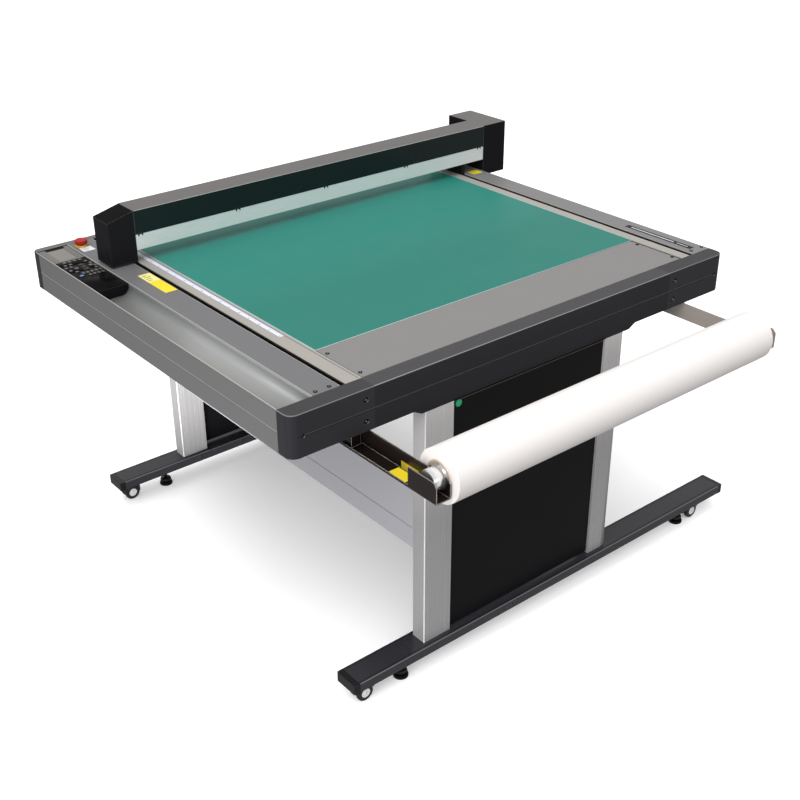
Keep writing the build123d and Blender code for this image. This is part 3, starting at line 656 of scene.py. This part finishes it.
# Grey skin on the rear end's top, rounded like its corner caps.
skin_inset = 3
skin_x = (cover_x[0] + skin_inset, cover_x[1] - skin_inset)
skin_y = (cover_y[1] + 0.2, table_y[1] - skin_inset)
skin_z = (0, 0.3)
cap_round = 17
round_y = skin_y[1] - cap_round
outline = [
    (skin_x[0], skin_y[0]),
    *arc((skin_x[0] + cap_round, round_y), cap_round, 180, -90, 8),
    *arc((skin_x[1] - cap_round, round_y), cap_round, 90, -90, 8),
    (skin_x[1], skin_y[0]),
]
bm = bmesh.new()
lower, upper = [[bm.verts.new(at(x, y, z)) for x, y in outline] for z in skin_z]
bm.faces.new(lower)
bm.faces.new(upper)
add_sides(bm, lower, upper)
mesh_piece("rear_top_skin", bm, rear_grey, ROOT, smooth=False)

# Dark skirts that carry the rear corner caps round onto the side covers.
skirt_y = (cover_y[1] - 19, cover_y[1] + 10)
skirt_z = (cover_z[0], -0.6)
skirt_out = 0.4
skirt_in = 0.1
for name, x in (
    ("left", (cover_x[0] - skirt_out, cover_x[0] + skirt_in)),
    ("right", (cover_x[1] - skirt_in, cover_x[1] + skirt_out)),
):
    plate("rear_skirt_" + name, x, skirt_y, skirt_z, cap_black)

# Painted highlights: bright strips along the folded edges of the side extrusion and along its
# joint.
seam = -62.6
seam_lit = (seam, seam + 1.4)
for name, x, y, z in (
    ("side_rim_left", (0, 2.3), rim_y, (-0.6, 0.3)),
    ("side_rim_right", (rail_x[0] - 2.8, rail_x[0] - 0.4), rim_y, (-1.2, 0.3)),
    ("seam_highlight", (-0.25, 0.3), rim_y, seam_lit),
):
    plate(name, x, y, z, painted_edge_highlight)

# Polished lining of the tray, ahead of the control panel.
tray_wall = (2.7, 104.8)
tray_top = -1
tray_floor = -33.8
tray_round = 25.7
tray_sheet = 0.25


def tray_outline(step):
    """Trough section, moved inwards by a step, as (x, z) in table millimetres."""
    radius = tray_round - step
    low = tray_wall[0] + step
    high = tray_wall[1] - step
    round_z = tray_floor + step + radius
    return [
        (low, tray_top),
        *arc((low + radius, round_z), radius, 180, 90, 12),
        *arc((high - radius, round_z), radius, 270, 90, 12),
        (high, tray_top),
    ]


bm = bmesh.new()
outline = tray_outline(0) + tray_outline(tray_sheet)[::-1]
ends = [[bm.verts.new(at(x, y, z)) for x, z in outline] for y in lining_y]
add_sides(bm, *ends)
last = len(outline) - 1
for ring in ends:
    for k in range(len(outline) // 2 - 1):
        bm.faces.new((ring[k], ring[k + 1], ring[last - k - 1], ring[last - k]))
mesh_piece("tray_lining", bm, tray_grey, ROOT)

# Dark joint between the upper and lower halves of the table's ends, with a painted highlight
# above it at the front.
joint_x = (cover_x[0] + 45, cover_x[1] - 45)
joint_z = (seam - 1.8, seam)
plate("joint_front", joint_x, (-0.15, 0.9), joint_z, inner_dark, 0)
plate("joint_rear", joint_x, (table_y[1] - 0.9, table_y[1] + 0.15), joint_z, inner_dark, 0)
plate("joint_light_front", joint_x, (-0.2, 0.6), (seam + 0.2, seam_lit[1]), joint_highlight)

# Painted highlights: fine bright strips along the edges of the gantry's slots.
slot_highlight_wide = 1.2
slot_highlight_y = (lining_y[0], rim_y[1])
for name, x in (("left", 191.6), ("right", 1567.2)):
    plate("slot_edge_highlight_" + name, (x, x + slot_highlight_wide), slot_highlight_y, (-1.5, 0.25), painted_edge_highlight)

# ------------------------------------------------------------------- labels

sticker_z = (0.02, 0.25)
badge_z = (0.02, 0.5, 0.6)


def label(name, x, y, base, two_tone):
    """Sticker with ink bars that only suggest print, and a pale far part if it is two-tone."""
    plate(name, x, y, sticker_z, base)
    wide = x[1] - x[0]
    deep = y[1] - y[0]
    high = sticker_z[1]
    first, step = (0.66, 0.08) if two_tone else (0.2, 0.2)
    if two_tone:
        pale_x = (x[0] + 0.5, x[1] - 0.5)
        pale_y = (y[0] + 0.6 * deep, y[1] - 0.5)
        plate(name + "_pale", pale_x, pale_y, (high, high + 0.1), label_pale)
    bm = bmesh.new()
    for k in range(4):
        bar_x = (x[0] + 0.15 * wide, x[0] + (0.5 + 0.1 * (k % 3)) * wide)
        bar_y = y[0] + deep * (first + step * k)
        add_box(bm, at(bar_x[0], bar_y, high), at(bar_x[1], bar_y + 0.02 * deep, high + 0.2))
    mesh_piece(name + "_print", bm, label_ink, ROOT)


# Warning and rating labels, and a badge with two bars, all without words.
label("label_left_rail", (152, 192), (844, 1012), label_yellow, True)
label("label_estop", (119, 159), (1297, 1335), label_white, False)
label("label_right_rail", (1592, 1634), (1085, 1124), label_yellow, False)
plate("badge_plate", (1594, 1615), (88, 356), badge_z[:2], panel_black)
plate("badge_bar_long", (1602, 1606.5), (160, 335), badge_z[1:], label_white)
plate("badge_bar_short", (1603, 1606), (104, 148), badge_z[1:], label_white)

# ------------------------------------------------------------ control panel

# Black key film, left open where the cross of moving keys stands.
film_x = (panel_x[0] + 1, panel_x[1] - 1)
film_y = (panel_y[0] + 1, 1262)
film_z = (-0.95, -0.55)
open_x = (52, 74)
open_y = (1158, 1216)
open_lip = 0.6
bm = bmesh.new()
for x, y in (
    (film_x, (film_y[0], open_y[0])),
    ((film_x[0], open_x[0]), open_y),
    ((open_x[1], film_x[1]), open_y),
    (open_x, (open_y[0], open_y[0] + open_lip)),
    (film_x, (open_y[1], film_y[1])),
):
    add_box(bm, at(x[0], y[0], film_z[0]), at(x[1], y[1], film_z[1]))
mesh_piece("key_film", bm, film_black, ROOT)

# Painted shade: a dark sheet over the slot behind the display.
panel_rear = panel_y[1] - 1
plate("display_slot_shade", (31, 89), (1373, panel_rear), (film_z[0], -0.45), inner_dark)

key_z = (-0.6, 0.9)
key_round = 0.0008


def key_row(name, centres, y, size, mat):
    """Row of small rounded keys, (wide, deep) in size, round their centres along x."""
    half_x = size[0] / 2
    half_y = size[1] / 2
    bm = bmesh.new()
    for x in centres:
        add_box(bm, at(x - half_x, y - half_y, key_z[0]), at(x + half_x, y + half_y, key_z[1]))
    mesh_piece(name, bm, mat, ROOT, key_round)


for k, (centres, y, size) in enumerate(
    (
        ((29, 46, 63, 80), 1250, (11, 13)),
        ((21, 38, 88), 1226, (10, 10)),
        ((14, 30, 94), 1205, (9, 12)),
        ((39, 86), 1187, (12, 14)),
        ((16, 97), 1178, (9, 11)),
        ((28, 92), 1160, (10, 10)),
        ((38, 52, 66, 80, 94), 1138, (9, 14)),
        ((50, 64, 78, 92), 1116, (9, 12)),
    )
):
    key_row("keys_%d" % k, centres, y, size, key_grey)
key_row("key_light", (25,), 1122, (12, 9), key_blue)

# Grey frame round the display.
bezel_gap = 0.6
bezel_z = (film_z[0], -0.5)
lcd_x, lcd_y, _ = ranges("lcd_window")
left_x = (panel_x[0] + bezel_gap, lcd_x[0] - bezel_gap)
right_x = (lcd_x[1] + bezel_gap, panel_x[1] - bezel_gap)
between_x = (left_x[1], right_x[0])
bezel_y = (film_y[1], panel_rear)
near_bezel_y = (film_y[1], lcd_y[0] - bezel_gap)
plate("display_frame_left", left_x, bezel_y, bezel_z, panel_grey)
plate("display_frame_right", right_x, bezel_y, bezel_z, panel_grey)
plate("display_frame_front", between_x, near_bezel_y, bezel_z, panel_grey)

# ------------------------------------------------------------------- screws

# Bright steel sockets in the heads of the cap and table screws, a painted highlight for the glint
# in each dark screw hole. Turned profiles are in metres.
screw_glint = ((0.0004, 0), (0.0004, 0.0016), (0, 0.0020), (-0.0004, 0.0016), (-0.0004, 0))
glint_steps = 12
cap_screw_x = (231, cover_x[1] - 231)
cap_screw_y = 1.9
cap_screw_z = (-32, -93)
for k, (x, z) in enumerate((x, z) for x in cap_screw_x for z in cap_screw_z):
    lathe("cap_screw_glint_%d" % k, screw_glint, at(x, cap_screw_y, z), "y", steel, ROOT, glint_steps)
rail_screw_z = 1.5
strip_screw_z = 1.9
for k, place in enumerate(
    (
        (168.5, 68, rail_screw_z),
        (126, 68, rail_screw_z),
        (1585, 75, rail_screw_z),
        (1636, 75, rail_screw_z),
        (274.5, 79, strip_screw_z),
        (274.5, 219, strip_screw_z),
    )
):
    lathe("table_screw_glint_%d" % k, screw_glint, at(*place), "z", steel, ROOT, glint_steps)

# Green marker on the front leg panel.
leg_x, leg_y, leg_z = ranges("leg_panels")
marker = ((0, 0), (0, 0.011), (-0.0006, 0.0112), (-0.0012, 0.0108), (-0.0012, 0))
marker_at = at(leg_x[0] + 24, leg_y[0], leg_z[1] - 18)
lathe("marker_dot", marker, marker_at, "y", green_dot, ROOT, 40)

# ------------------------------------------------------------------- gantry

bar_low, bar_high = span("gantry_front_cover")
wiper_high = span("wiper_strip")[1]

# Small tabs that hold the wiper strip under the bar.
tab_count = 5
tab_half = 9 * MM
first_tab = left + 224 * MM
tab_step = 351.5 * MM
bm = bmesh.new()
for k in range(tab_count):
    centre = first_tab + tab_step * k
    add_box(
        bm,
        (centre - tab_half, bar_low.y - 0.3 * MM, wiper_high.z - 6 * MM),
        (centre + tab_half, bar_low.y + 1.2 * MM, wiper_high.z + 4 * MM),
    )
mesh_piece("bar_tabs", bm, bar_gloss, "gantry", 0.0008)

# Painted highlight: a bright strip along the folded edge of the bar's top.
box_piece(
    "bar_edge_highlight",
    (bar_low.x + 2 * MM, bar_low.y - 0.2 * MM, bar_high.z - 1.4 * MM),
    (bar_high.x - 1 * MM, bar_low.y + 1.2 * MM, bar_high.z + 0.2 * MM),
    painted_edge_highlight,
    "gantry",
    0.0002,
)

# ------------------------------------------------------------------- feeder

# Card core at the ends of the roll.
roll_low, roll_high = span("media_roll")
roll_middle = (roll_low + roll_high) / 2
for name, x, sign in (("left", roll_low.x, -1), ("right", roll_high.x, 1)):
    ring = (
        (0, 0.0381),
        (0.0011 * sign, 0.0384),
        (0.0013 * sign, 0.0400),
        (0.0011 * sign, 0.0430),
        (0, 0.0436),
    )
    end = Vector((x, roll_middle.y, roll_middle.z))
    lathe("core_ring_" + name, ring, end, "x", card, "roll", 72)

# Yellow label folded over the left arm's edge, without words. The part on the wall is a darker
# copy of the yellow, painted shade.
arm_x, _, arm_z = ranges("feeder_arms")
arm_floor = arm_z[0] + 2.5
arm_inner = arm_x[0] + 43.5
paper = 0.3
wall_x = (arm_inner - paper, arm_inner)
floor_x = (arm_x[0] + 6, arm_x[0] + 40)
floor_z = (arm_floor, arm_floor + paper)
plate("arm_label_wall", wall_x, (-182, -116), (-179, -158), label_yellow_shaded, 0.0001)
plate("arm_label_floor", floor_x, (-174, -110), floor_z, label_yellow)

# ------------------------------------------------------------------- stand

foot_x, foot_y, foot_z = ranges("foot_beams")
foot_top = foot_z[1]
_, sub_y, sub_z = ranges("sub_rails")
post_x, post_y, _ = ranges("posts")
post_deep = 50
corner_highlight_wide = 3
proud = 0.3
corner_highlight_x = (post_x[0] - proud, post_x[0] + corner_highlight_wide)
corner_highlight_z = (foot_top, sub_z[0])

# Painted highlights: bright strips down the outer corners of the left posts, for the glint on
# their sharp corners.
for name, y in (("front", post_y[0]), ("rear", post_y[1] - post_deep)):
    plate("post_corner_highlight_" + name, corner_highlight_x, (y - proud, y + corner_highlight_wide), corner_highlight_z, corner_highlight_alu, 0.0008)

# Dark joint under the front rail, and a brown painted highlight along the top edge of the front
# leg panel below it.
for name, y, low, high, mat in (
    ("joint", sub_y[0], 0, 4.5, inner_dark),
    ("edge", leg_y[0], -9.5, -6.5, brown_glint),
):
    strip_z = (sub_z[0] + low, sub_z[0] + high)
    plate("panel_top_" + name, leg_x, (y - proud, y + proud), strip_z, mat, 0.0001)

# Dark lines along the top of the foot beams.
foot_deep = 85
line_wide = 2
line_z = (foot_top - 0.6, foot_top - 0.1)
front_inset = 7
rear_inset = 9
bm = bmesh.new()
for start in (foot_y[0], foot_y[1] - foot_deep):
    for y in (start + front_inset, start + foot_deep - rear_inset):
        add_box(bm, at(foot_x[0], y, line_z[0]), at(foot_x[1], y + line_wide, line_z[1]))
mesh_piece("foot_lines", bm, inner_dark, ROOT)


def lock_knob(corner):
    """Flared nut round a levelling foot."""
    pad_low, pad_high = span("leveller_" + corner)
    middle = (pad_low + pad_high) / 2
    nut = (
        (0.014, 0.0),
        (0.014, 0.016),
        (0.0155, 0.0190),
        (0.020, 0.0200),
        (0.0245, 0.0180),
        (0.0270, 0.0120),
        (0.0270, 0.0),
    )
    base = Vector((middle.x, middle.y, pad_low.z))
    lathe("lock_knob_" + corner, nut, base, "z", gloss_black, "leveller_" + corner, 40)


def wheel_hubs(corner):
    """Pale caps on the outer faces of a castor's two wheels."""
    wheel_low, wheel_high = span("castor_wheels_" + corner)
    middle = (wheel_low + wheel_high) / 2
    for side, face, sign in (("a", wheel_low.y, -1), ("b", wheel_high.y, 1)):
        cap = (
            (-0.0004 * sign, 0.0149),
            (0.0004 * sign, 0.0146),
            (0.0006 * sign, 0.0120),
            (0.0002 * sign, 0.0116),
            (0.0002 * sign, 0.0060),
            (0.0009 * sign, 0.0055),
            (0.0009 * sign, 0),
        )
        centre = Vector((middle.x, face, middle.z))
        lathe("hub_%s_%s" % (corner, side), cap, centre, "y", hub_grey, "wheels_" + corner, 48)


for corner in CORNERS:
    lock_knob(corner)
for corner in CORNERS:
    wheel_hubs(corner)

# ------------------------------------------------------------------- camera

# The photograph's own view, as solved from the table's edges.
camera_data = bpy.data.cameras.new("camera")
camera_data.lens = 53.85
camera_data.sensor_width = 36.0
camera_data.shift_x = 0.0032
camera_data.shift_y = -0.0051
camera_data.clip_end = 60.0
camera = linked("camera", camera_data)
camera_place = (-2.2567, -2.6230, 2.3775)
right = Vector((0.77291, -0.63450, -0.00489))
up = Vector((0.30317, 0.36252, 0.88129))
back = right.cross(up)
turn = Matrix((right, up, back)).transposed().to_4x4()
camera.matrix_world = Matrix.Translation(camera_place) @ turn
bpy.context.scene.camera = camera

# -------------------------------------------------------------------- floor

floor_half = 70
floor_thick = 0.02
bm = bmesh.new()
add_box(bm, (-floor_half, -floor_half, -floor_thick), (floor_half, floor_half, 0))
floor_white = material("floor_white", (0.90, 0.90, 0.90), rough=0.7, grain=0.0, specular=0.1)
floor_shader = floor_white.node_tree.nodes["Principled BSDF"]
floor_shader.inputs["Emission Color"].default_value = (1, 1, 1, 1)
floor_shader.inputs["Emission Strength"].default_value = 0.25
floor = mesh_piece("floor", bm, floor_white, None)
floor.visible_diffuse = False
floor.visible_glossy = False

# ----------------------------------------------------------------- lighting


def lamp(name, kind, power, place=(0, 0, 0), aim=None):
    """New lamp, turned towards a point if one is given."""
    data = bpy.data.lights.new(name, kind)
    data.energy = power
    obj = linked(name, data)
    obj.location = place
    if aim:
        obj.rotation_euler = (Vector(aim) - Vector(place)).to_track_quat("-Z", "Y").to_euler()
    return obj


def area_lamp(name, place, aim, wide, high, power):
    """Soft rectangular lamp aimed at a point."""
    obj = lamp(name, "AREA", power, place, aim)
    obj.data.shape = "RECTANGLE"
    obj.data.size = wide
    obj.data.size_y = high
    return obj


# Places and sizes are in metres, and powers in watts.
area_lamp("key", (-3.2, -2.6, 4.6), (0, 0, 0.8), 2.6, 2.6, 40)
area_lamp("front_card", (1.5, -5.5, 2.2), (0, 0, 0.6), 2.5, 2.0, 20)

fillers = [
    area_lamp("left_low", (-5.0, -1.5, 1.3), (0, 0, 0.5), 3.0, 1.6, 32),
    area_lamp("under_left", (-2.5, -0.9, 0.4), (-0.62, 0.6, 0.5), 0.8, 0.6, 20),
    area_lamp("front_high", (-0.6, -4.2, 2.0), (0, -0.8, 0.9), 2.6, 0.9, 14),
    area_lamp("rear_top", (0.5, 3.5, 4.2), (0, 0.4, 1.0), 4.0, 1.6, 40),
]

spot = lamp("rear_post_light", "SPOT", 330, (-1.6, -0.6, 0.35), (-0.42, 0.81, 0.5))
spot.data.spot_size = math.radians(28)
spot.data.spot_blend = 1.0
spot.data.shadow_soft_size = 0.15

sun = lamp("soft_sun", "SUN", 2.0)
sun.data.angle = math.radians(60)
sun.rotation_euler = (math.radians(12), math.radians(-20), 0)

# All lamps but the first two fill the shadows without hot reflections.
for filler in (*fillers, spot, sun):
    filler.visible_glossy = False
    filler.visible_camera = False

# Pale sky, brighter towards the top. Seen directly, behind the floor's edge, it is white.
world = bpy.data.worlds.new("world")
world.use_nodes = True
tree = world.node_tree
sky_place = tree.nodes.new("ShaderNodeTexCoord").outputs["Generated"]
sky = ranged(tree, component(tree, sky_place, "Z"), (-0.25, 0.45), (0.33, 0.66))
shown = tree.nodes.new("ShaderNodeMix")
shown.inputs["B"].default_value = 1.0
seen = tree.nodes.new("ShaderNodeLightPath").outputs["Is Camera Ray"]
tree.links.new(seen, shown.inputs["Factor"])
tree.links.new(sky, shown.inputs["A"])
background = tree.nodes["Background"]
background.inputs["Color"].default_value = (1, 1, 1, 1)
tree.links.new(shown.outputs["Result"], background.inputs["Strength"])
bpy.context.scene.world = world
bpy.context.scene.view_settings.view_transform = "Standard"
